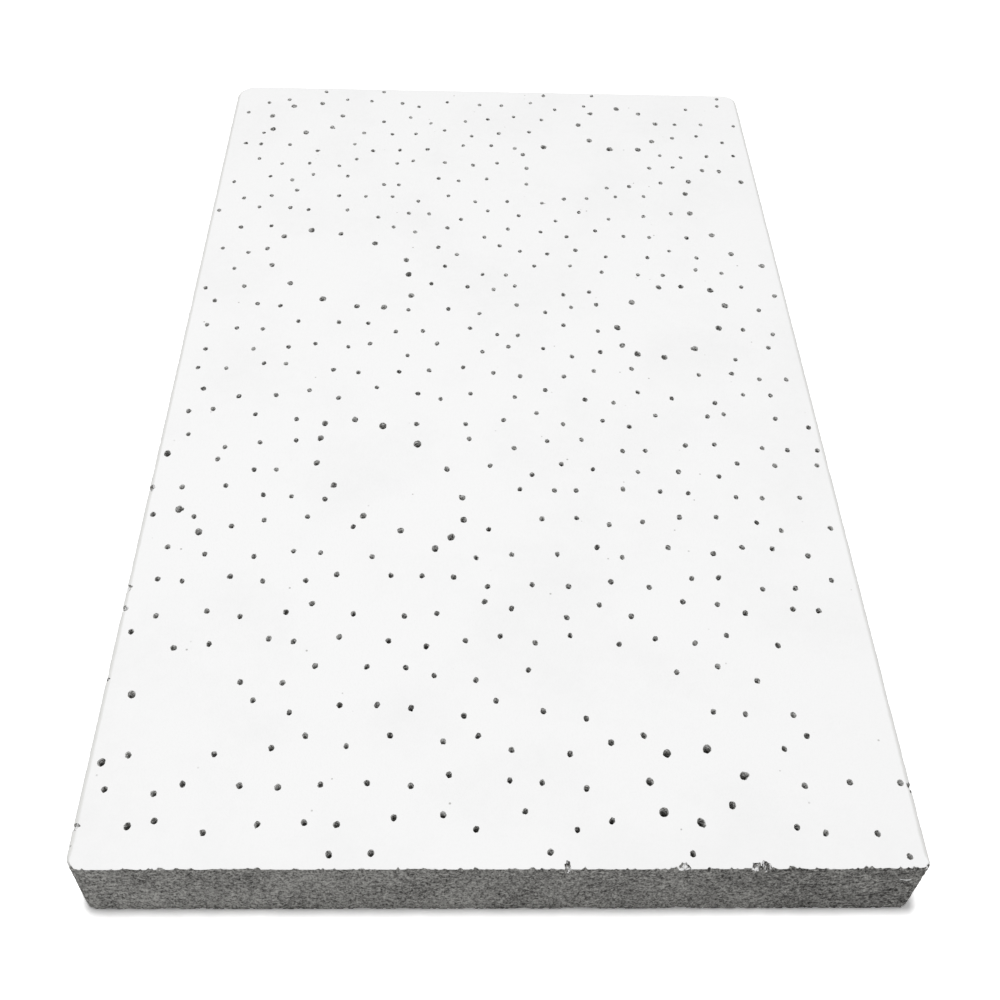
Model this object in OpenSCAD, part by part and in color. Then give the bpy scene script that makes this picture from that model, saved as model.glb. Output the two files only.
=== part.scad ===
// Suspended ceiling tile: a cut piece of needle-punched mineral-fibre board.
// It lies on its back with the painted face up, and its cut front end faces -Y.
// The origin is the centre of the back face.

/* [Board] */
// Width of the board, along X
board_w = 120; // [100:1:300]
// Length of the board, along Y
board_l = 200; // [120:1:600]
// Thickness of the board, along Z
board_t = 13; // [12:0.5:25]

/* [Worn corners] */
// Plan radius of the front left corner
front_left_r = 2.4; // [0.5:0.1:8]
// Plan radius of the front right corner
front_right_r = 1.4; // [0.5:0.1:8]
// Plan radius of the back left corner
back_left_r = 4.5; // [0.5:0.1:8]
// Plan radius of the back right corner
back_right_r = 3.5; // [0.5:0.1:8]

/* [Fine pinholes] */
// Diameter of a fine pinhole
fine_d = 0.8; // [0.5:0.05:1.2]
// Board left under a fine pinhole
fine_floor = 7; // [4:0.5:9]
// Distance between neighbours in a row, along X
fine_pitch = 6.3; // [6:0.1:12]
// Distance between one staggered row and the next, along Y
row_pitch = 6.2; // [5.5:0.1:12]
// How far a fine pinhole may stray from its place in the rows
fine_stray = 1.8; // [0:0.1:2]

/* [Coarse pinholes] */
// Diameter of a coarse pinhole
coarse_d = 1.25; // [0.8:0.05:2]
// Board left under a coarse pinhole
coarse_floor = 5; // [3:0.5:8]
// Distance between neighbours round a bare patch
coarse_pitch = 6.4; // [4:0.1:12]
// How far a coarse pinhole may stray from the rim of its patch
coarse_stray = 1; // [0:0.1:2]

/* [Needle pattern] */
// Least distance from the centre of a pinhole to the board's edge
edge_gap = 1.6; // [1.2:0.1:5]
// Least distance from a fine pinhole to a coarse one or to a bare patch
patch_gap = 3; // [2:0.1:8]
// Number that starts the random pattern
pattern_seed = 4; // [1:1:99]

/* [Chipped edges] */
// Radius of a small bite out of the arris
small_bite_r = 0.8; // [0.4:0.05:1.5]
// Radius of a large bite out of the arris
large_bite_r = 1.15; // [0.6:0.05:2]

/* [Hidden] */

curve_fn = 48;
hole_fn = 24;
// How far a cutter stands proud of the face that it cuts
overcut = 1;

// Bare patches that the needles left, where the coarse pinholes stand round the rim.
// Each is an ellipse: centre x, centre y, half length, half width, turn, and then
// the angle on its rim where the coarse pinholes start and the angle that they cover.
patches = [
    [-31, 31, 16, 11, -30, 0, 360],
    [-18.5, -27.5, 18, 8.5, -50, 0, 360],
    [35, 15.5, 13, 9, 45, 0, 360],
    [17, 69.5, 10, 7, 0, 120, 120],
    [30.5, 84, 9, 9, 0, 10, 360],
    [54, 50, 18, 9.5, -70, 0, 360],
    [-43, 86, 8, 6, 15, 0, 360],
    [28, -87, 7, 7, 0, 20, 360],
    [-46, -74.5, 5, 5, 0, 0, 0],
    [18, -70, 5, 4.5, 0, 0, 0],
    [52.5, -70, 5.5, 7.5, 0, 0, 0]
];
// Coarse pinholes that stand by themselves
lone_coarse = [[-58, -22], [-54, -35], [-50, -40], [-55.5, -72], [-57.8, -83.5]];

// Bites out of the front arris, by their place along X, and out of the left arris, along Y
small_front_bites = [9, 25.2, 36.6];
large_front_bites = [35.3];
small_left_bites = [-93.6, -55.9, -51.7, -30.2];

rows = ceil(board_l / 2 / row_pitch);
columns = ceil(board_w / 2 / fine_pitch);

// Radius of the corner in the quarter of the board that holds a point
function corner_r(p) =
    p.y < 0 ? (p.x < 0 ? front_left_r : front_right_r) : (p.x < 0 ? back_left_r : back_right_r);

// Distance from a point to the outline, which is negative outside it
function inset(p) =
    let (r = corner_r(p), dx = abs(p.x) - board_w / 2 + r, dy = abs(p.y) - board_l / 2 + r)
    r - norm([max(dx, 0), max(dy, 0)]) - min(max(dx, dy), 0);

// Where a point lies in a patch that is grown by gap: 0 at its centre and 1 on its rim
function level(p, patch, gap) =
    let (dx = p.x - patch[0], dy = p.y - patch[1], turn = patch[4])
    norm([
        (dx * cos(turn) + dy * sin(turn)) / (patch[2] + gap),
        (dy * cos(turn) - dx * sin(turn)) / (patch[3] + gap)
    ]);

function outside_patches(p, gap, least) =
    len([for (patch = patches) if (level(p, patch, gap) < least) 1]) == 0;

function away_from_lone(p) =
    len([for (q = lone_coarse) if (norm(p - q) < patch_gap) 1]) == 0;

function stray(reach, seed) = reach == 0 ? [0, 0] : rands(-reach, reach, 2, seed);

// A point on the rim of a patch
function rim_point(patch, angle) =
    let (x = patch[2] * cos(angle), y = patch[3] * sin(angle), turn = patch[4])
    [patch[0] + x * cos(turn) - y * sin(turn), patch[1] + x * sin(turn) + y * cos(turn)];

// How many coarse pinholes the rim of a patch takes, with the ellipse's mean radius
function rim_count(patch) =
    round(patch[6] * PI / 180 * sqrt((patch[2] ^ 2 + patch[3] ^ 2) / 2) / coarse_pitch);

rim_places = [
    for (n = [0 : len(patches) - 1])
        let (patch = patches[n], count = rim_count(patch))
        for (k = [0 : 1 : count - 1])
            let (angle = patch[5] + patch[6] * k / count)
            rim_point(patch, angle) + stray(coarse_stray, pattern_seed + 100 * n + k)
];
// A coarse pinhole is left out where it would fall into the next patch or off the board
coarse_places = [
    for (p = concat(rim_places, lone_coarse))
        if (inset(p) > edge_gap && outside_patches(p, 0, 0.8)) p
];

row_places = [
    for (j = [-rows : rows])
        for (i = [-columns : columns])
            let (shift = abs(j) % 2 / 2)
            [(i + shift) * fine_pitch, j * row_pitch]
            + stray(fine_stray, 1000 * (pattern_seed + j + rows) + i + columns)
];
fine_places = [
    for (p = row_places)
        if (inset(p) > edge_gap && outside_patches(p, patch_gap, 1) && away_from_lone(p)) p
];

// Board outline with its four worn corners
module outline() {
    difference() {
        square([board_w, board_l], center = true);
        for (side = [-1, 1], end = [-1, 1])
            corner_waste(side, end);
    }
}

// What wear took off one corner, outside its arc
module corner_waste(side, end) {
    r = corner_r([side, end]);
    reach = r + overcut;
    translate([side * (board_w / 2 - r), end * (board_l / 2 - r)])
        difference() {
            translate([side, end] * reach / 2)
                square(reach, center = true);
            circle(r, $fn = curve_fn);
        }
}

// Blind holes of one kind of needle, punched from the painted face down to floor_z
module pinholes(places, d, floor_z) {
    translate([0, 0, floor_z])
        linear_extrude(board_t - floor_z + overcut)
            for (p = places)
                translate(p)
                    circle(d = d, $fn = hole_fn);
}

// Break-out centred on the arris of the painted face
module bite(x, y, r) {
    translate([x, y, board_t])
        sphere(r, $fn = curve_fn);
}

module bites() {
    for (x = small_front_bites)
        bite(x, -board_l / 2, small_bite_r);
    for (x = large_front_bites)
        bite(x, -board_l / 2, large_bite_r);
    for (y = small_left_bites)
        bite(-board_w / 2, y, small_bite_r);
}

module tile() {
    color("whitesmoke")
        difference() {
            linear_extrude(board_t)
                outline();
            pinholes(fine_places, fine_d, fine_floor);
            pinholes(coarse_places, coarse_d, coarse_floor);
            bites();
        }
}

tile();
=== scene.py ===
# %% [markdown]
# # A cut piece of suspended ceiling tile
# The object is one board of wet-formed mineral fibre. Its face is painted matt white and punched
# full of needle holes that soak up sound, and its cut edges show the raw grey fibre.
# The packed part gives the real size and the place of every pinhole, so it is loaded first and
# everything below is measured from it. Nothing here moves or resizes it.

# %% Load the packed part
import math
import random

import bmesh
import bpy
from mathutils import Matrix, Vector


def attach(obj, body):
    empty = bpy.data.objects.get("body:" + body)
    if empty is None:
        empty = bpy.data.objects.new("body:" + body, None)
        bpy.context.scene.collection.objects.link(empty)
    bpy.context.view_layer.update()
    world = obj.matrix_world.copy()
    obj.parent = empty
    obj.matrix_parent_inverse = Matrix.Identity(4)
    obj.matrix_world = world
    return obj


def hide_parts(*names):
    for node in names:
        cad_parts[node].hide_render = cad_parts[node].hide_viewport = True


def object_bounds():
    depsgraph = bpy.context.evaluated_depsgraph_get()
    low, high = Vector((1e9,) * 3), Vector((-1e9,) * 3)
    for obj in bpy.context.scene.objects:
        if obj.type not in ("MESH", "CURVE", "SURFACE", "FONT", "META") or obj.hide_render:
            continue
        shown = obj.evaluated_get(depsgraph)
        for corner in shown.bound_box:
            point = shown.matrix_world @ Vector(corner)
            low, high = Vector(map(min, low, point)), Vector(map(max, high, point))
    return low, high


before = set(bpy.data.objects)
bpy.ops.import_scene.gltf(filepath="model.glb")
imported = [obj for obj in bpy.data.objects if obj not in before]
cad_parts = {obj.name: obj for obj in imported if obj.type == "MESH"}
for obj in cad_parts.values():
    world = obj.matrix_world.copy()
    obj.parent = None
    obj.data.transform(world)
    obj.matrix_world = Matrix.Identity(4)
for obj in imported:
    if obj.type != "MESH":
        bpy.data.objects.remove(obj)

MM = 0.001
# Points closer together than this count as one
WELD = 0.001 * MM
# Least upright share of the normal of a face that counts as level
LEVEL = 0.99

cad_low, cad_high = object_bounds()
board_w, board_l, board_t = cad_high - cad_low
cad_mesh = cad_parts["tile"].data
print("board, mm:", [round(side / MM, 2) for side in (board_w, board_l, board_t)])

# %% [markdown]
# ## The camera
# The photograph looks down on the cut front end from close by, so the board narrows strongly
# towards its far end. A camera could be turned by hand until it fits. Here its place, its angles
# and its focal length were worked out from the photograph's own edges, which is quicker to check:
# the viewing direction and the picture's right and down directions become the camera's axes.

# %% Camera
PHOTO_SIDE_PX = 1000
FOCAL_PX = 1261
SENSOR_MM = 36
CLOSEST_SEEN = 10 * MM
camera_place = Vector((-6.6, -176.4, 176.6)) * MM
look_down = math.radians(48.59)
look_right = math.radians(2.89)
camera_roll = math.radians(-2.66)

ahead = Vector((
    math.sin(look_right) * math.cos(look_down),
    math.cos(look_right) * math.cos(look_down),
    -math.sin(look_down),
))
level_right = Vector((math.cos(look_right), -math.sin(look_right), 0))
level_below = ahead.cross(level_right)
picture_right = level_right * math.cos(camera_roll) + level_below * math.sin(camera_roll)
picture_below = level_below * math.cos(camera_roll) - level_right * math.sin(camera_roll)

bpy.ops.object.camera_add()
camera = bpy.context.object
camera.data.sensor_width = SENSOR_MM
camera.data.lens = FOCAL_PX / PHOTO_SIDE_PX * SENSOR_MM
camera.data.clip_start = CLOSEST_SEEN
camera_axes = Matrix((picture_right, -picture_below, -ahead)).transposed()
camera.matrix_world = Matrix.Translation(camera_place) @ camera_axes.to_4x4()
bpy.context.scene.camera = camera
print("lens, mm:", round(camera.data.lens, 1))

# %% [markdown]
# ## Where the needles went in
# Every pinhole is already in the packed part, as a round blind hole with a flat floor. Instead of
# writing hundreds of places down again, this step finds them: each patch of faces that looks up
# from well below the painted face is the floor of one hole, and its outline gives the radius.

# %% Read the pinholes
LEAST_HOLE_DEPTH = 2 * MM


def pinhole_floors(mesh):
    """Centre x, centre y, radius and floor height of each blind hole in the board."""
    scan = bmesh.new()
    scan.from_mesh(mesh)
    bmesh.ops.remove_doubles(scan, verts=scan.verts, dist=WELD)
    scan.normal_update()
    floors = [
        face for face in scan.faces
        if face.normal.z > LEVEL and face.calc_center_median().z < board_t - LEAST_HOLE_DEPTH
    ]
    unread = {face.index for face in floors}
    found = []
    for first in floors:
        if first.index not in unread:
            continue
        unread.discard(first.index)
        waiting = [first]
        points = set()
        while waiting:
            face = waiting.pop()
            points.update(tuple(corner.co) for corner in face.verts)
            for edge in face.edges:
                for neighbour in edge.link_faces:
                    if neighbour.index in unread:
                        unread.discard(neighbour.index)
                        waiting.append(neighbour)
        xs, ys, zs = zip(*points)
        radius = (max(xs) - min(xs)) / 2
        found.append(((max(xs) + min(xs)) / 2, (max(ys) + min(ys)) / 2, radius, min(zs)))
    scan.free()
    return sorted(found)


pinholes = pinhole_floors(cad_mesh)
radii = sorted({round(hole[2] / MM, 2) for hole in pinholes})
print("pinholes:", len(pinholes), "with radii, mm:", radii)

# %% [markdown]
# ## The board blank
# The blank is a plain slab with worn corners. It could be a cube, but the corners differ, so it
# starts as one flat face: each corner point is bevelled to the radius of the packed part's corner,
# and the face is then extruded down by the board's thickness. The first few steps are short. They
# give the points that the arris, the edge of the painted face, needs to be rounded later on.

# %% Flat start
def pick(piece, kind, test):
    """Select the vertices, edges or faces of a piece that pass a test, in edit mode."""
    bpy.ops.object.mode_set(mode="EDIT")
    bpy.ops.mesh.select_mode(type=kind)
    bpy.ops.mesh.select_all(action="DESELECT")
    shape = bmesh.from_edit_mesh(piece.data)
    parts = {"VERT": shape.verts, "EDGE": shape.edges, "FACE": shape.faces}[kind]
    picked = [part for part in parts if test(part)]
    for part in picked:
        part.select_set(True)
    bmesh.update_edit_mesh(piece.data)
    return len(picked)


bpy.ops.object.select_all(action="DESELECT")
bpy.ops.mesh.primitive_plane_add(size=1, location=(0, 0, board_t))
board = bpy.context.object
board.name = "tile_board"
board.scale = (board_w, board_l, 1)
bpy.ops.object.transform_apply(location=True, rotation=True, scale=True)
print("corners of the flat start:", pick(board, "VERT", lambda corner: True))

# %% Worn corners and thickness
CORNER_STEPS = 12
ARRIS_STEPS = 4
ARRIS_R = 0.9 * MM
# The four corners, each by its direction along X and along Y
CORNERS = ((-1, -1), (1, -1), (1, 1), (-1, 1))


def worn_radius(side, end):
    """Radius of one corner of the packed part, from where its end edge stops."""
    reach = [
        side * corner.co.x for corner in cad_mesh.vertices
        if abs(corner.co.z) < WELD and abs(corner.co.y - end * board_l / 2) < WELD
    ]
    return board_w / 2 - max(reach)


for side, end in CORNERS:
    place = Vector((side * board_w / 2, end * board_l / 2, board_t))
    pick(board, "VERT", lambda corner: (corner.co - place).length < WELD)
    bpy.ops.mesh.bevel(offset=worn_radius(side, end), segments=CORNER_STEPS, affect="VERTICES")

bpy.ops.mesh.select_all(action="SELECT")
quarter_turn = [math.cos(math.radians(90) * step / ARRIS_STEPS) for step in range(ARRIS_STEPS + 1)]
falls = [ARRIS_R * (higher - lower) for higher, lower in zip(quarter_turn, quarter_turn[1:])]
for fall in (*falls, board_t - ARRIS_R):
    bpy.ops.mesh.extrude_region_move(TRANSFORM_OT_translate={"value": (0, 0, -fall)})
bpy.ops.mesh.select_all(action="SELECT")
bpy.ops.mesh.normals_make_consistent(inside=False)
print("corner radii, mm:", [round(worn_radius(*corner) / MM, 2) for corner in CORNERS])
print("rings below the face, mm:", [round(fall / MM, 2) for fall in falls])

# %% [markdown]
# ## Sides fine enough to roughen
# A flat wall has no points to push about, so the walls are cut into cells of a few tenths of a
# millimetre, smallest on the sawn front where the grain shows most. The top and bottom faces are
# taken off first: they stay flat, and without them each wall point's normal lies level.
# Blender may number the new points differently in each run, and some later steps go by those
# numbers. So all points are then sorted by their distance from one place, which is always the same.

# %% Cut the walls into small cells
FRONT_CELL = 0.29 * MM
SIDE_CELL = 0.6 * MM
WALL_ROWS = 32
# An edge is cut if it is longer than this many cells
CUT_FROM = 1.5


def middle(edge):
    """Middle of an edge."""
    return (edge.verts[0].co + edge.verts[1].co) / 2


def span(edge, axis):
    """How far an edge reaches along X, Y or Z."""
    return abs(edge.verts[1].co[axis] - edge.verts[0].co[axis])


def split_edges(axis, length, cell, test):
    """Cut the long straight edges along one axis into parts of about one cell, in two passes."""
    cuts = math.ceil(math.sqrt(length / cell)) - 1
    for _ in range(2):
        pick(board, "EDGE", lambda edge: span(edge, axis) > CUT_FROM * cell and test(middle(edge)))
        bpy.ops.mesh.subdivide(number_cuts=cuts)


pick(board, "FACE", lambda face: abs(face.normal.z) > LEVEL)
bpy.ops.mesh.delete(type="ONLY_FACE")
split_edges(0, board_w, FRONT_CELL, lambda place: place.y < 0)
split_edges(0, board_w, SIDE_CELL, lambda place: place.y > 0)
split_edges(1, board_l, SIDE_CELL, lambda place: True)
uprights = pick(board, "EDGE", lambda edge: span(edge, 2) > board_t / 2)
bpy.ops.mesh.subdivide(number_cuts=WALL_ROWS - 1)
print("upright edges:", uprights, "cut into parts:", WALL_ROWS)

# %% Settle the order of the points
# A place off to one side, so that two points are hardly ever equally far from it
SORT_FROM = Vector((-0.31, -0.43, 0.57))


def only(piece):
    """Leave edit mode and select one piece alone."""
    if bpy.context.object and bpy.context.object.mode != "OBJECT":
        bpy.ops.object.mode_set(mode="OBJECT")
    bpy.ops.object.select_all(action="DESELECT")
    piece.select_set(True)
    bpy.context.view_layer.objects.active = piece


def settle_order():
    """Number all points, edges and faces by their distance from one place, the same in every run."""
    cursor = bpy.context.scene.cursor
    cursor.location = SORT_FROM
    bpy.ops.mesh.select_all(action="SELECT")
    bpy.ops.mesh.sort_elements(type="CURSOR_DISTANCE", elements={"VERT", "EDGE", "FACE"})
    cursor.location = (0, 0, 0)


settle_order()
only(board)
print("wall cells:", len(board.data.polygons))

# %% [markdown]
# ## Rough sawn sides
# Sawing tears the fibre felt: small grains fall out, and the felt opens in thin flat layers.
# Displace modifiers do this well, each with a cloud texture of its own size. Every side is worn
# straight inwards along its own axis, so the board never grows past its real size and its rims stay
# flat. On a rounded corner two sides share the wear, by the direction that each point faces.
# The flat layers come from a cloud that is read through a stretched empty: it is wider than high.
# Hands have rubbed the arris round on three sides. That is one more Displace, along each point's
# normal, and it comes first, while all normals still lie level. The fresh cut in front stays sharp.

# %% Weights for the wear of each side
# Axis that a side faces along, and its direction on that axis
SIDES = {"front": ("Y", -1), "far": ("Y", 1), "left": ("X", -1), "right": ("X", 1)}
RUB_FADE = 2.2 * MM
# Share of the wear that the rubbed arris is spared
ARRIS_SPARED = 0.7
CRUMBLE_DEPTH = 1.2 * MM
# The front's felt opens from this far right of the middle, at this height, and so far up and down
GAPE_FROM = 24 * MM
GAPE_HEIGHT = 3.8 * MM
GAPE_REACH = 3 * MM


def rubbed_share(place):
    """How much of the rubbing reaches a place: none on the sawn front, all a little way behind it."""
    return min(1, max(0, (place.y + board_l / 2) / RUB_FADE))


def rub(corner):
    """How far in from the wall the rubbed arris lies, as a share of its radius."""
    across = max(0, 1 - (board_t - corner.co.z) / ARRIS_R)
    return rubbed_share(corner.co) * (1 - math.sqrt(1 - across * across))


def firmness(corner):
    """How much of the wear a vertex takes: all on a wall, little on the rubbed arris."""
    on_wall = corner.co.z < board_t - ARRIS_R + WELD
    return 1 if on_wall else 1 - ARRIS_SPARED * rubbed_share(corner.co)


def crumble(corner):
    """Extra wear of the sharp front arris, which fades out a little way below it."""
    return max(0, 1 - (board_t - corner.co.z) / CRUMBLE_DEPTH)


def gape(corner):
    """Extra wear where the front's felt has opened in layers: low down and towards the right."""
    along = min(1, max(0, corner.co.x / GAPE_FROM - 1))
    return along * max(0, 1 - abs(corner.co.z - GAPE_HEIGHT) / GAPE_REACH)


def weigh(name, axis, direction, share):
    """Vertex group for one side: how squarely each vertex faces that way, times its share."""
    group = board.vertex_groups.new(name=name)
    for corner in board.data.vertices:
        facing = direction * getattr(corner.normal, axis.lower())
        group.add([corner.index], max(0, facing) * share(corner), "REPLACE")


for side, (axis, direction) in SIDES.items():
    weigh(side, axis, direction, firmness)
weigh("front arris", *SIDES["front"], crumble)
weigh("open layers", *SIDES["front"], gape)
rubbed = board.vertex_groups.new(name="rubbed arris")
for corner in board.data.vertices:
    rubbed.add([corner.index], rub(corner), "REPLACE")
print("wear groups:", [group.name for group in board.vertex_groups])

# %% Rub the arris round
rounding = board.modifiers.new("rubbing", type="DISPLACE")
rounding.vertex_group = "rubbed arris"
rounding.mid_level = 0
rounding.strength = -ARRIS_R
bpy.ops.object.modifier_apply(modifier=rounding.name)
face_rim = [corner.co for corner in board.data.vertices if corner.co.z > board_t - WELD]
rubbed_off = board_l / 2 - max(place.y for place in face_rim)
print("rubbed off the face's far edge, mm:", round(rubbed_off / MM, 2))

# %% Wear the sides
LAYER_STRETCH = 5
CLOUD_DETAIL = 2


def cloud(name, size, contrast, brightness):
    """Cloud texture with lumps of about one size; the brighter it is, the fewer pits it leaves."""
    texture = bpy.data.textures.new(name, type="CLOUDS")
    texture.noise_scale = size
    texture.noise_depth = CLOUD_DETAIL
    texture.contrast = contrast
    texture.intensity = brightness
    texture.use_clamp = True
    return texture


def wear_off(texture, group, axis, direction, most, through=None):
    """Take up to one depth off a side where the texture is dark."""
    step = board.modifiers.new(texture.name, type="DISPLACE")
    step.texture = texture
    step.vertex_group = group
    step.direction = axis
    step.mid_level = 1
    step.strength = direction * most
    step.texture_coords = "OBJECT" if through else "LOCAL"
    step.texture_coords_object = through
    bpy.ops.object.modifier_apply(modifier=step.name)


bpy.ops.object.empty_add()
felt_layers = bpy.context.object
felt_layers.scale = (LAYER_STRETCH, LAYER_STRETCH, 1)
bpy.context.view_layer.update()
only(board)

saw_waves = cloud("saw waves", size=7 * MM, contrast=1, brightness=1.3)
loose_layers = cloud("loose layers", size=0.6 * MM, contrast=3, brightness=1.5)
lost_grains = cloud("lost grains", size=0.6 * MM, contrast=3, brightness=1.5)
open_layers = cloud("open layers", size=0.5 * MM, contrast=4, brightness=1.6)
edge_crumbs = cloud("crumbs", size=0.6 * MM, contrast=4, brightness=1.75)
for side, (axis, direction) in SIDES.items():
    wear_off(saw_waves, side, axis, direction, most=0.1 * MM)
    wear_off(loose_layers, side, axis, direction, most=0.25 * MM, through=felt_layers)
    wear_off(lost_grains, side, axis, direction, most=0.25 * MM)
wear_off(open_layers, "open layers", *SIDES["front"], most=0.5 * MM, through=felt_layers)
wear_off(edge_crumbs, "front arris", *SIDES["front"], most=0.35 * MM)
bpy.data.objects.remove(felt_layers)

front_reach = max(worn_radius(-1, -1), worn_radius(1, -1))
front_back = front_reach - board_l / 2
front_wall = [corner.co.y / MM for corner in board.data.vertices if corner.co.y < front_back + WELD]
front_mean = sum(front_wall) / len(front_wall)
print("front wall from", round(min(front_wall), 3), "mm, mean", round(front_mean, 3))

# %% Close the two open rims
for height in (board_t, 0):
    pick(board, "EDGE", lambda edge: edge.is_boundary and abs(middle(edge).z - height) < WELD)
    bpy.ops.mesh.edge_face_add()
bpy.ops.mesh.select_all(action="SELECT")
bpy.ops.mesh.normals_make_consistent(inside=False)
only(board)
print("faces with both ends closed:", len(board.data.polygons))

# %% [markdown]
# ## Squares on the painted face
# Hundreds of holes in one large face would leave a face with thousands of corners, and those are
# drawn with hairline cracks. So the painted face is first cut into small squares with bisect, and
# each square then takes only a few holes. All squares lie level, so their joints don't show.

# %% Cut the painted face into squares
FACE_CELL = 8 * MM


def face_lines(length):
    """Places of the lines that cut one side of the face into squares."""
    cells = round(length / FACE_CELL)
    return [length * (number / cells - 0.5) for number in range(1, cells)]


lines = [((x, 0, 0), (1, 0, 0)) for x in face_lines(board_w)]
lines += [((0, y, 0), (0, 1, 0)) for y in face_lines(board_l)]
for place, direction in lines:
    pick(board, "FACE", lambda face: face.normal.z > LEVEL)
    bpy.ops.mesh.bisect(plane_co=place, plane_no=direction)
settle_order()
only(board)
print("lines across the face:", len(lines))

# %% [markdown]
# ## One needle, and all the others
# A needle leaves a hole with a dished, slightly torn mouth. One needle is modelled as a twelve-sided
# spike: a disc that is extruded down and narrowed three times. The needles sit on a roller and drag
# a little along the board, so every copy is longer than it is wide. Each also gets its own size, turn
# and lean, and a random nudge of every point makes the mouths ragged. Some needles struck twice.
# All first strikes are joined, and so are all second ones, because one large cut is quicker than many.

# %% Model the needle
NEEDLE_SIDES = 12
# Heights and radii of the needle's rings are shares of its depth and of its radius at the face.
# The top ring stands clear above the face, so that the needle cuts cleanly through it.
OVERCUT = 0.15
SHOULDER_R = 1.54
LOWER_RINGS = ((-0.06, 0.8), (-0.22, 0.72), (-1, 0.6))

bpy.ops.object.select_all(action="DESELECT")
bpy.ops.mesh.primitive_circle_add(vertices=NEEDLE_SIDES, radius=SHOULDER_R, fill_type="NGON")
needle = bpy.context.object
needle.name = "needle"
bpy.ops.object.mode_set(mode="EDIT")
bpy.ops.mesh.select_all(action="SELECT")
bpy.ops.transform.translate(value=(0, 0, OVERCUT))
height = OVERCUT
ring_r = SHOULDER_R
for next_height, next_r in LOWER_RINGS:
    bpy.ops.mesh.extrude_region_move(TRANSFORM_OT_translate={"value": (0, 0, next_height - height)})
    bpy.ops.transform.resize(value=(next_r / ring_r, next_r / ring_r, 1))
    height = next_height
    ring_r = next_r
bpy.ops.mesh.select_all(action="SELECT")
bpy.ops.mesh.normals_make_consistent(inside=False)
only(needle)
print("faces of one needle:", len(needle.data.polygons))

# %% Set a needle in every pinhole
NEEDLE_SEED = 11
NEEDLE_DRAG = 1.24
# Radius that parts fine holes from coarse ones, and how much the holes of each kind differ in size
FINE_MOST_R = 0.5 * MM
FINE_SPREAD = (1.04, 1.2)
COARSE_SPREAD = (0.84, 1.1)
# How much the width and the length of any one hole differ from its size
OVAL_SPREAD = (0.94, 1.06)
# Share of the needles that struck twice. A second strike's distance and radius are shares of the first
# one's radius, and its depth is a share of the first one's depth.
SECOND_SHARE = 0.35
SECOND_OFF = (0.6, 0.95)
SECOND_R = (0.35, 0.6)
SECOND_DEPTH = (0.15, 0.4)
RAGGED = 0.06 * MM
LEAN = math.radians(3)
TWIST = math.radians(20)
draw = random.Random(NEEDLE_SEED)


def set_needle(x, y, radius, depth):
    """Copy of the needle at one place, with its own width, length, turn and lean."""
    copy = needle.copy()
    copy.data = needle.data.copy()
    bpy.context.collection.objects.link(copy)
    size = radius * draw.uniform(*(COARSE_SPREAD if radius > FINE_MOST_R else FINE_SPREAD))
    width = size * draw.uniform(*OVAL_SPREAD)
    length = size * draw.uniform(*OVAL_SPREAD) * NEEDLE_DRAG
    copy.scale = (width, length, depth)
    copy.rotation_euler = [draw.uniform(-most, most) for most in (LEAN, LEAN, TWIST)]
    copy.location = (x, y, board_t)
    return copy


def join_bed(name, needles):
    """All needles of one strike as one ragged cutter."""
    bpy.ops.object.select_all(action="DESELECT")
    for copy in needles:
        copy.select_set(True)
    bpy.context.view_layer.objects.active = needles[0]
    bpy.ops.object.join()
    bed = bpy.context.object
    bed.name = name
    bpy.ops.object.transform_apply(location=True, rotation=True, scale=True)
    bpy.ops.object.mode_set(mode="EDIT")
    bpy.ops.mesh.select_all(action="SELECT")
    bpy.ops.transform.vertex_random(offset=RAGGED, uniform=1, normal=0, seed=NEEDLE_SEED)
    only(bed)
    return bed


first_strikes = []
second_strikes = []
for x, y, radius, bottom in pinholes:
    first_strikes.append(set_needle(x, y, radius, board_t - bottom))
    if draw.random() < SECOND_SHARE:
        way = draw.uniform(0, math.tau)
        off = radius * draw.uniform(*SECOND_OFF)
        size = radius * draw.uniform(*SECOND_R)
        depth = (board_t - bottom) * draw.uniform(*SECOND_DEPTH)
        second_strikes.append(set_needle(x + off * math.cos(way), y + off * math.sin(way), size, depth))
bpy.data.objects.remove(needle)
first_bed = join_bed("first_strikes", first_strikes)
second_bed = join_bed("second_strikes", second_strikes)
print("needles:", len(first_strikes), "first and", len(second_strikes), "second strikes")

# %% [markdown]
# ## Bites out of the arris
# Where a pinhole sat on the saw line the face broke out. Each bite is a lump, not a ball: a coarse
# icosphere that is shaken at random and then stretched to the bite's own width, reach and depth.

# %% Model the bites
BITE_SEED = 5
BITE_STEPS = 3
# How far each point of a lump is shaken, as a share of its radius, and how much of that is outwards
BITE_SHAKE = 0.14
SHAKE_OUTWARDS = 0.6
front = -board_l / 2 / MM
left = -board_w / 2 / MM
right = board_w / 2 / MM
# Place on the face's edge, then half the size along X, half the size along Y and depth, in millimetres
BITES = (
    (9.0, front, 0.5, 1.2, 1.3),
    (25.2, front, 1.0, 1.0, 0.65),
    (35.3, front, 0.8, 1.1, 0.75),
    (36.6, front, 0.7, 1.35, 1.0),
    (right - 0.5, front + 0.3, 0.45, 0.5, 0.6),
    (left, -93.6, 1.1, 0.6, 0.9),
    (left, -69.2, 0.7, 0.5, 0.8),
    (left, -55.9, 1.1, 0.65, 1.0),
    (left, -51.7, 1.0, 0.8, 0.9),
    (left, -30.2, 1.1, 0.9, 0.9),
    (right, -87.2, 0.75, 1.2, 0.8),
)


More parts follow.
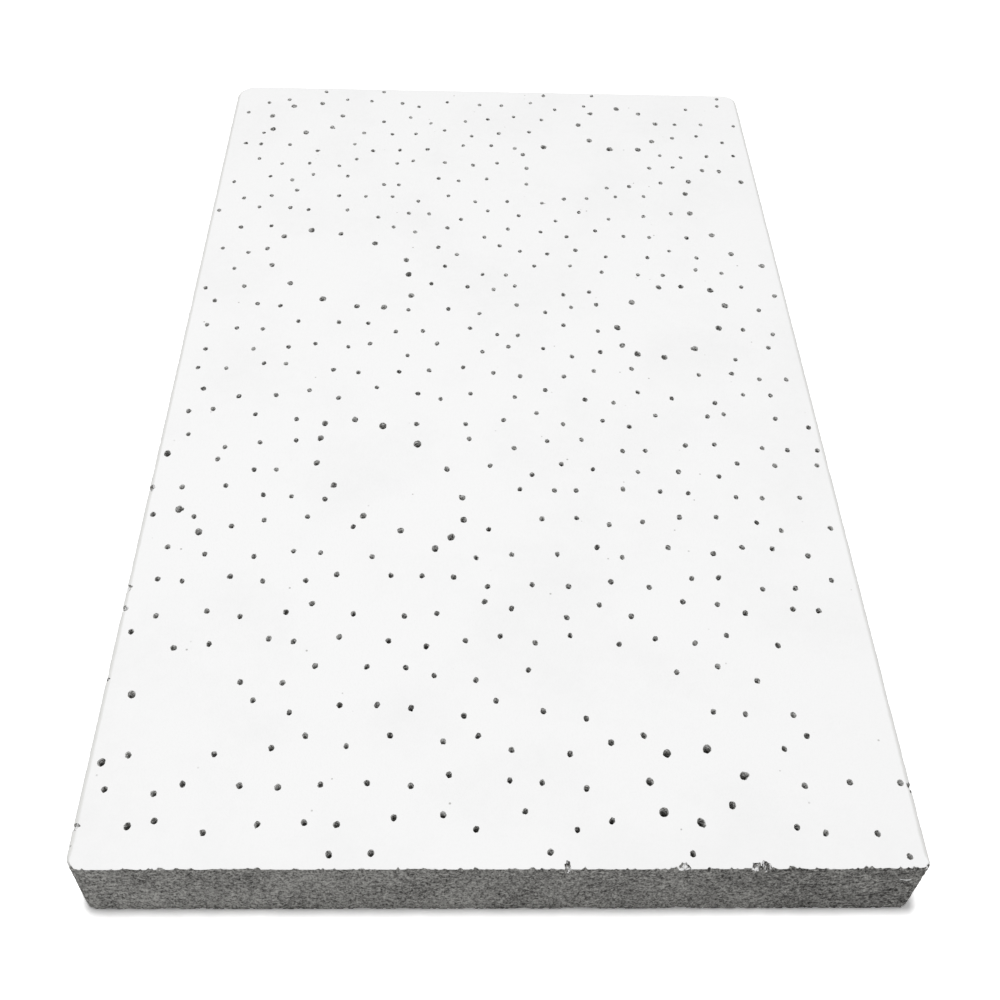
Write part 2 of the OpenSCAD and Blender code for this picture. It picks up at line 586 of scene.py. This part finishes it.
def add_bite(x, y, half_x, half_y, depth, seed):
    """Shaken icosphere on the edge of the face."""
    bpy.ops.object.select_all(action="DESELECT")
    bpy.ops.mesh.primitive_ico_sphere_add(subdivisions=BITE_STEPS, radius=1)
    lump = bpy.context.object
    lump.name = f"bite_{seed}"
    bpy.ops.object.mode_set(mode="EDIT")
    bpy.ops.transform.vertex_random(offset=BITE_SHAKE, uniform=1, normal=SHAKE_OUTWARDS, seed=seed)
    bpy.ops.object.mode_set(mode="OBJECT")
    lump.scale = Vector((half_x, half_y, depth)) * MM
    lump.location = (x * MM, y * MM, board_t)
    bpy.ops.object.transform_apply(location=True, rotation=True, scale=True)
    return lump


lumps = [add_bite(*bite, BITE_SEED + number) for number, bite in enumerate(BITES)]
print("bites:", len(lumps))

# %% [markdown]
# ## Shader maths in plain arithmetic
# Finishes are built from nodes. Wiring them one by one hides what they do, so one small class wraps
# a node's output: adding or multiplying two of them adds the Math node, and `node` makes any other.

# %% Node helper
class Channel:
    """An output socket of a node tree that can be used in arithmetic."""

    def __init__(self, tree, socket=None):
        self.tree = tree
        self.socket = socket

    def node(self, kind, settings=None, sockets=None, output=0):
        """Add a node, set it up, feed its sockets, and return one of its outputs."""
        made = self.tree.nodes.new(kind)
        for name, value in (settings or {}).items():
            if name == "stops":
                while len(made.color_ramp.elements) < len(value):
                    made.color_ramp.elements.new(1)
                for stop, (position, colour) in zip(made.color_ramp.elements, value):
                    stop.position = position
                    stop.color = colour
            else:
                setattr(made, name, value)
        for name, value in (sockets or {}).items():
            if isinstance(value, Channel):
                self.tree.links.new(value.socket, made.inputs[name])
            else:
                made.inputs[name].default_value = value
        return Channel(self.tree, made.outputs[output] if made.outputs else None)

    def math(self, operation, first, second=0.0, clamp=False):
        """Math node between two values or outputs."""
        settings = {"operation": operation, "use_clamp": clamp}
        return self.node("ShaderNodeMath", settings, {0: first, 1: second})

    def __add__(self, other):
        return self.math("ADD", self, other)

    def __sub__(self, other):
        return self.math("SUBTRACT", self, other)

    def __rsub__(self, other):
        return self.math("SUBTRACT", other, self)

    def __mul__(self, other):
        return self.math("MULTIPLY", self, other)

    def __truediv__(self, other):
        return self.math("DIVIDE", self, other)

    __radd__ = __add__
    __rmul__ = __mul__

    def clamped(self):
        """The value, held between 0 and 1."""
        return self.math("ADD", self, 0.0, clamp=True)

    def above(self, level, steepness):
        """0 up to a level, and rising to 1 above it."""
        return ((self - level) * steepness).clamped()

    def below(self, level, steepness):
        """0 down to a level, and rising to 1 below it."""
        return ((level - self) * steepness).clamped()

    def noise(self, size, detail=2.0, roughness=0.5):
        """Noise over this position, with lumps of about one size in metres."""
        return self.node(
            "ShaderNodeTexNoise", None,
            {"Vector": self, "Scale": 1 / size, "Detail": detail, "Roughness": roughness},
        )

    def dots(self, size):
        """Distance from the nearest of scattered points, which lie about one size apart."""
        return self.node("ShaderNodeTexVoronoi", None, {"Vector": self, "Scale": 1 / size})

    def stretched(self, x, y, z):
        """This position with each axis multiplied: patterns get narrower where that is more than 1."""
        return self.node("ShaderNodeVectorMath", {"operation": "MULTIPLY"}, {0: self, 1: (x, y, z)})

    def part(self, axis):
        """One axis of this position."""
        return self.node("ShaderNodeSeparateXYZ", None, {"Vector": self}, axis)

    def between(self, first, second):
        """Colour that goes from the first to the second as this value goes from 0 to 1."""
        return self.node("ShaderNodeMix", {"data_type": "RGBA"}, {0: self, 6: first, 7: second}, 2)

    def ramp(self, *stops):
        """Colour that this value picks from a row of stops."""
        return self.node("ShaderNodeValToRGB", {"stops": stops}, {0: self})


print("what a channel can make:", [name for name in vars(Channel) if not name.startswith("_")])

# %% Start and end of a finish
# All finishes here are matt, so they reflect half as much as Blender's standard surface
MATT_REFLECTION = 0.25
# A noise lies evenly about this value
NOISE_MEAN = 0.5


def tone(red, green, blue):
    """Scene colour of a screen colour from 0 to 255, by the sRGB curve."""
    def level(value):
        share = value / 255
        return share / 12.92 if share <= 0.04045 else ((share + 0.055) / 1.055) ** 2.4
    return (level(red), level(green), level(blue), 1)


def new_finish(name):
    """Empty material, with the position on the piece as its start."""
    material = bpy.data.materials.new(name)
    material.use_nodes = True
    material.node_tree.nodes.clear()
    start = Channel(material.node_tree)
    return material, start.node("ShaderNodeTexCoord", output="Object")


def close_finish(colour, roughness, height, bump_distance):
    """Principled shader with a bump, wired to the material's output."""
    normal = height.node("ShaderNodeBump", None, {"Height": height, "Distance": bump_distance})
    surface = colour.node("ShaderNodeBsdfPrincipled", None, {
        "Base Color": colour,
        "Roughness": roughness,
        "Normal": normal,
        "Specular IOR Level": MATT_REFLECTION,
    })
    surface.node("ShaderNodeOutputMaterial", None, {"Surface": surface})


print("middle grey as scene colour:", [round(value, 3) for value in tone(128, 128, 128)])

# %% [markdown]
# ## The painted face
# The face has a thin coat of matt white, which also wraps the arris. There the paint is greyed,
# partly because it is rubbed thin and partly as a painted shade line along the outline. The face is
# nearly even: there are faint clouds of thinner paint, a fine stipple, and here and there a grey speck
# of dust or fibre. The specks come from a Voronoi pattern, cut off close to its points, and a wider
# noise decides which of them show.

# %% Painted face
PAINT = tone(247, 247, 247)
PAINT_THIN = tone(242, 242, 242)
PAINT_RUBBED_AND_SHADED = tone(230, 230, 228)
# Depth below the face at which the arris is fully greyed, by rubbed paint and painted shade
RUBBED_AND_SHADED_FROM = 0.06 * MM
# Size of the clouds and scuffs of thinner paint, and how strongly they show
CLOUD_SIZE = 18 * MM
CLOUDS_FROM = 0.45
CLOUD_CONTRAST = 2
SCUFF_SIZE = 2.2 * MM
SCUFF_CONTRAST = 0.8
SPECK = tone(170, 169, 166)
SPECK_GAP = 2.6 * MM
# Radius of a speck as a share of the gap, how dense it is, and the noise above which it shows
SPECK_R = 0.085
SPECK_DENSITY = 0.8
SPECK_GROUP = 3.7 * MM
SPECKS_FROM = 0.6
STIPPLE_SIZE = 0.5 * MM
STIPPLE_HEIGHT = 0.03 * MM
PAINT_ROUGHNESS = 0.72
CLOUD_ROUGHNESS = 0.12


def painted_face():
    """Matt white paint, greyed on the arris as rubbed paint and as a painted shade line."""
    material, place = new_finish("painted_face")
    clouds = place.noise(CLOUD_SIZE)
    scuffs = place.noise(SCUFF_SIZE, roughness=0.65)
    thin = ((clouds - CLOUDS_FROM) * CLOUD_CONTRAST + (scuffs - NOISE_MEAN) * SCUFF_CONTRAST).clamped()
    shown = place.noise(SPECK_GROUP, detail=0).above(SPECKS_FROM, steepness=9)
    speck = place.dots(SPECK_GAP).below(SPECK_R, steepness=30) * shown
    # rubbed: the arris greyed as rubbed paint and as a painted shade line along the outline
    rubbed = ((board_t - place.part("Z")) / RUBBED_AND_SHADED_FROM).clamped()
    paint = rubbed.between(thin.between(PAINT, PAINT_THIN), PAINT_RUBBED_AND_SHADED)
    colour = (speck * SPECK_DENSITY).between(paint, SPECK)
    stipple = place.noise(STIPPLE_SIZE, detail=1)
    close_finish(colour, PAINT_ROUGHNESS + CLOUD_ROUGHNESS * clouds, stipple, STIPPLE_HEIGHT)
    return material


paint_finish = painted_face()
print("nodes of the painted face:", len(paint_finish.node_tree.nodes))

# %% [markdown]
# ## The raw fibre core
# The sawn sides and the back are bare mineral felt: a grey mix of mineral wool, clay and pale grains
# of perlite. Its colour changes from grain to grain. The felt was laid down in water, so its grains and
# gaps are wider than high. A thin torn line of paint still clings along the top of the sawn edge, and
# near its right end the saw has dragged a flake of paint onto the front.

# %% Grain of the felt
CORE_DARK = tone(66, 65, 63)
CORE_MID = tone(140, 139, 136)
CORE_PALE = tone(196, 195, 191)
COARSE_GRAIN = 0.75 * MM
FINE_GRAIN = 0.3 * MM
FELT_AREA = 7 * MM
CRACK_SIZE = 1.2 * MM
CRACKS_BELOW = 0.42
# Positions are multiplied by these, so that grains and cracks are wider than high
GRAIN_STRETCH = (1, 1, 1.3)
CRACK_STRETCH = (0.4, 1, 2)
# Tone of the plain felt, how strongly the grains and the larger areas change it, and how much painted
# shade darkens the cracks
PLAIN_FELT = 0.5
GRAIN_CONTRAST = 3.6
AREA_CONTRAST = 0.4
CRACK_SHADE = 0.4
# Painted shade: how much further down the felt's scale from dark to pale the right end lies than the
# left one
PAINTED_SHADE_RIGHT = 0.12
GRAIN_HEIGHT = 0.12 * MM


def felt_grain(place):
    """Felt tone and height: 0 in a pit, PLAIN_FELT on plain felt, 1 on a pale grain; painted shade to
    the right and in cracks.
    """
    coarse = place.stretched(*GRAIN_STRETCH).noise(COARSE_GRAIN, roughness=0.6)
    fine = place.noise(FINE_GRAIN, detail=1, roughness=0.6)
    grain = (coarse + fine) / 2 - NOISE_MEAN
    areas = place.noise(FELT_AREA, detail=1) - NOISE_MEAN
    # Painted shade: the felt is darkened towards the right end, as if less light reached it
    painted_shade_right = place.part("X") * (PAINTED_SHADE_RIGHT / board_w)
    layers = place.stretched(*CRACK_STRETCH).noise(CRACK_SIZE, detail=1)
    cracks = layers.below(CRACKS_BELOW, steepness=8)
    opened = (place.part("X") / GAPE_FROM - 1).clamped()
    whole = grain * GRAIN_CONTRAST + PLAIN_FELT + areas * AREA_CONTRAST
    # The cracks where the felt has opened are darkened with painted shade
    return whole - painted_shade_right - cracks * opened * CRACK_SHADE


def core_tone(grain):
    """Colour of the felt at one grain value."""
    return grain.ramp((0.0, CORE_DARK), (PLAIN_FELT, CORE_MID), (1.0, CORE_PALE))


print("felt from dark to pale:", [round(colour[0], 3) for colour in (CORE_DARK, CORE_MID, CORE_PALE)])

# %% Fibre core
# The torn line of paint: its mean height, the size of its tears and the width of its soft edge
PAINT_LIP = 0.1 * MM
LIP_TEAR = 0.6 * MM
LIP_FADE = 0.06 * MM
# The flake: its middle, half its size, how far its ends curl up, and where it fades out
FLAKE_X = board_w / 2 - 2.9 * MM
FLAKE_Z = 9.2 * MM
FLAKE_HALF_W = 0.9 * MM
FLAKE_HALF_H = 0.14 * MM
FLAKE_CURL = 0.1 * MM
FLAKE_EDGE = 1.2
FRONT_FADE = 0.1 * MM
CORE_ROUGHNESS = 0.92
# How much smoother paint is than bare felt
PAINT_SMOOTHER = 0.05


def fibre_core():
    """Bare felt, with the paint that the saw left on it."""
    material, place = new_finish("fibre_core")
    grain = felt_grain(place)
    depth = board_t - place.part("Z")
    tears = place.noise(LIP_TEAR, roughness=0.6)
    lip = ((tears * (2 * PAINT_LIP) - depth) / LIP_FADE).clamped()
    across = (place.part("X") - FLAKE_X) / FLAKE_HALF_W
    up = (place.part("Z") - FLAKE_Z - across * across * FLAKE_CURL) / FLAKE_HALF_H
    on_front = ((front_back - place.part("Y")) / FRONT_FADE).clamped()
    flake = (across * across + up * up).below(FLAKE_EDGE, steepness=3) * on_front
    colour = (lip + flake).clamped().between(core_tone(grain), PAINT)
    close_finish(colour, CORE_ROUGHNESS - PAINT_SMOOTHER * lip, grain, GRAIN_HEIGHT)
    return material


core_finish = fibre_core()
print("nodes of the fibre core:", len(core_finish.node_tree.nodes))

# %% [markdown]
# ## Pinhole walls and broken edges
# Paint runs a little way into each pinhole and thins out with depth, in patches, so a hole looks pale
# just under its mouth and dark further down. The bites are newly broken: half felt, half white crumbs
# of the paint that came away with it. Both finishes reuse the felt's grain.

# %% Pinhole wall
PAINT_IN_HOLE = tone(240, 240, 238)
# How deep paint runs into a hole, and the width of the soft edge where it ends
PAINT_RUN = 0.95 * MM
RUN_FADE = 0.2 * MM
# Mean share of that depth, and how much it changes within a hole and from hole to hole
RUN_SHARE = 0.85
RUN_PATCH = 0.4 * MM
PATCH_CONTRAST = 11
RUN_AREA = 4 * MM
HOLE_CONTRAST = 2
TEAR_SIZE = 0.22 * MM
TEAR_HEIGHT = 0.25 * MM
# How far the paint stands above the torn felt, as a share of that height
RUN_HEIGHT = 0.5
BROKEN_ROUGHNESS = 0.9


def pinhole_wall():
    """Torn felt with paint that has run in from the face."""
    material, place = new_finish("pinhole_wall")
    grain = felt_grain(place)
    depth = board_t - place.part("Z")
    patches = (place.noise(RUN_PATCH, roughness=0.7) - NOISE_MEAN) * PATCH_CONTRAST
    share = patches + (place.noise(RUN_AREA, detail=0) - NOISE_MEAN) * HOLE_CONTRAST + RUN_SHARE
    run = ((share * PAINT_RUN - depth) / RUN_FADE).clamped()
    torn = place.noise(TEAR_SIZE, detail=1) + run * RUN_HEIGHT
    colour = run.between(core_tone(grain), PAINT_IN_HOLE)
    close_finish(colour, BROKEN_ROUGHNESS - PAINT_SMOOTHER * run, torn, TEAR_HEIGHT)
    return material


hole_finish = pinhole_wall()
print("nodes of the pinhole wall:", len(hole_finish.node_tree.nodes))

# %% Broken edge
CRUMB_SIZE = 0.6 * MM
CRUMBS_FROM = 0.46


def broken_edge():
    """Felt with white crumbs of broken paint."""
    material, place = new_finish("broken_edge")
    grain = felt_grain(place)
    crumbs = place.noise(CRUMB_SIZE).above(CRUMBS_FROM, steepness=10)
    colour = crumbs.between(core_tone(grain), PAINT)
    close_finish(colour, BROKEN_ROUGHNESS - PAINT_SMOOTHER * crumbs, grain + crumbs, GRAIN_HEIGHT)
    return material


bite_finish = broken_edge()
print("nodes of the broken edge:", len(bite_finish.node_tree.nodes))

# %% [markdown]
# ## Finishes first, then the cut
# A Boolean can carry the finish of its cutter into the hole that it makes. So the board gets its
# paint and felt, each cutter gets its own finish, and only then are the holes cut. The Manifold
# solver is the quickest one, and it is safe here because the board and the cutters are all closed.

# %% Lay on the finishes
# Least share of the rubbing at which the arris is painted, and not bare felt like the sawn front
PAINT_KEPT_FROM = 0.35


def is_painted(face):
    """The level face and the rubbed arris round it carry paint."""
    rubbed_arris = face.center.z > board_t - ARRIS_R and rubbed_share(face.center) > PAINT_KEPT_FROM
    return face.normal.z > LEVEL or rubbed_arris


board.data.materials.append(core_finish)
board.data.materials.append(paint_finish)
for face in board.data.polygons:
    face.material_index = int(is_painted(face))
for bed in (first_bed, second_bed):
    bed.data.materials.append(hole_finish)
for lump in lumps:
    lump.data.materials.append(bite_finish)
print("painted faces:", sum(face.material_index for face in board.data.polygons))

# %% Cut the pinholes and the bites
# Faces that meet at less than this angle are shaded as one; the level faces are always shaded flat
SMOOTH_BELOW = math.radians(38)
DEAD_LEVEL = 0.999


def cut(cutter):
    """Boolean difference from the board, after which the cutter is thrown away."""
    only(board)
    step = board.modifiers.new(cutter.name, type="BOOLEAN")
    step.operation = "DIFFERENCE"
    step.solver = "MANIFOLD"
    step.material_mode = "TRANSFER"
    step.object = cutter
    bpy.ops.object.modifier_apply(modifier=step.name)
    bpy.data.objects.remove(cutter)


for cutter in (first_bed, second_bed, *lumps):
    cut(cutter)
bpy.ops.object.shade_smooth_by_angle(angle=SMOOTH_BELOW)
level_faces = pick(board, "FACE", lambda face: abs(face.normal.z) > DEAD_LEVEL)
bpy.ops.mesh.faces_shade_flat()
only(board)
print("level faces, shaded flat:", level_faces)
triangles = sum(len(face.vertices) - 2 for face in board.data.polygons)
print("board triangles:", triangles, "finishes:", [slot.name for slot in board.material_slots])

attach(board, "root")
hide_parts("tile")

# %% [markdown]
# ## Floor, light and white surround
# The board lies on a white table under a softbox, in a white room. The softbox hangs almost straight
# above, so the shadow in front of the board is only a slim line. Where the camera or a reflection shows
# the paper on the table and the room, they are brightened to white, but the light that they pass on to
# the board stays low. The paper's own colour is brightened, not its glow, so the shadow at the board's
# foot stays dark. Under the board the paper is cut out, a little smaller than the board, so that the
# back can be looked at from below.

# %% Floor
FLOOR_SIDE = 0.8
FLOOR_MARGIN = 3 * MM

bpy.ops.object.select_all(action="DESELECT")
bpy.ops.mesh.primitive_plane_add(size=FLOOR_SIDE)
floor = bpy.context.object
floor.name = "floor"
bpy.ops.object.mode_set(mode="EDIT")
bpy.ops.mesh.select_all(action="SELECT")
inner_side = FLOOR_SIDE / 2
bpy.ops.mesh.inset(thickness=(FLOOR_SIDE - inner_side) / 2)
opening_w = board_w - 2 * FLOOR_MARGIN
opening_l = board_l - 2 * FLOOR_MARGIN
bpy.ops.transform.resize(value=(opening_w / inner_side, opening_l / inner_side, 1))
bpy.ops.mesh.delete(type="FACE")
only(floor)
print("floor faces round the opening:", len(floor.data.polygons))

# %% Floor paper
FLOOR_WHITE = 0.9
FLOOR_LIFT = 0.75


def seen_directly(start):
    """1 for what the camera, a reflection or glass shows, and 0 for light that is passed on."""
    rays = ("Is Camera Ray", "Is Glossy Ray", "Is Transmission Ray")
    camera_ray, glossy_ray, glass_ray = [start.node("ShaderNodeLightPath", output=name) for name in rays]
    return (camera_ray + glossy_ray + glass_ray).clamped()


floor_paper, place = new_finish("floor_paper")
paper = FLOOR_WHITE + seen_directly(place) * FLOOR_LIFT
matt = place.node("ShaderNodeBsdfDiffuse", None, {"Color": paper})
place.node("ShaderNodeOutputMaterial", None, {"Surface": matt})
floor.data.materials.append(floor_paper)
print("nodes of the floor paper:", len(floor_paper.node_tree.nodes))

# %% Room and softbox
ROOM_LIGHT = 0.32
ROOM_SEEN = 1.0
ROOM_COLOUR = (1, 1, 1, 1)
SOFTBOX_SIDE = 0.16
SOFTBOX_PLACE = Vector((-0.04, -0.02, 0.95))
SOFTBOX_WATTS = 5.95

room = bpy.data.worlds.new("white_room")
room.use_nodes = True
room.node_tree.nodes.clear()
bpy.context.scene.world = room
start = Channel(room.node_tree)
dim = start.node("ShaderNodeBackground", None, {"Color": ROOM_COLOUR, "Strength": ROOM_LIGHT})
white = start.node("ShaderNodeBackground", None, {"Color": ROOM_COLOUR, "Strength": ROOM_SEEN})
both = start.node("ShaderNodeMixShader", None, {0: seen_directly(start), 1: dim, 2: white})
start.node("ShaderNodeOutputWorld", None, {"Surface": both})

bpy.ops.object.light_add(type="AREA", location=SOFTBOX_PLACE)
softbox = bpy.context.object
softbox.data.size = SOFTBOX_SIDE
softbox.data.energy = SOFTBOX_WATTS
bpy.context.scene.view_settings.view_transform = "Standard"
print("softbox, watts:", SOFTBOX_WATTS)
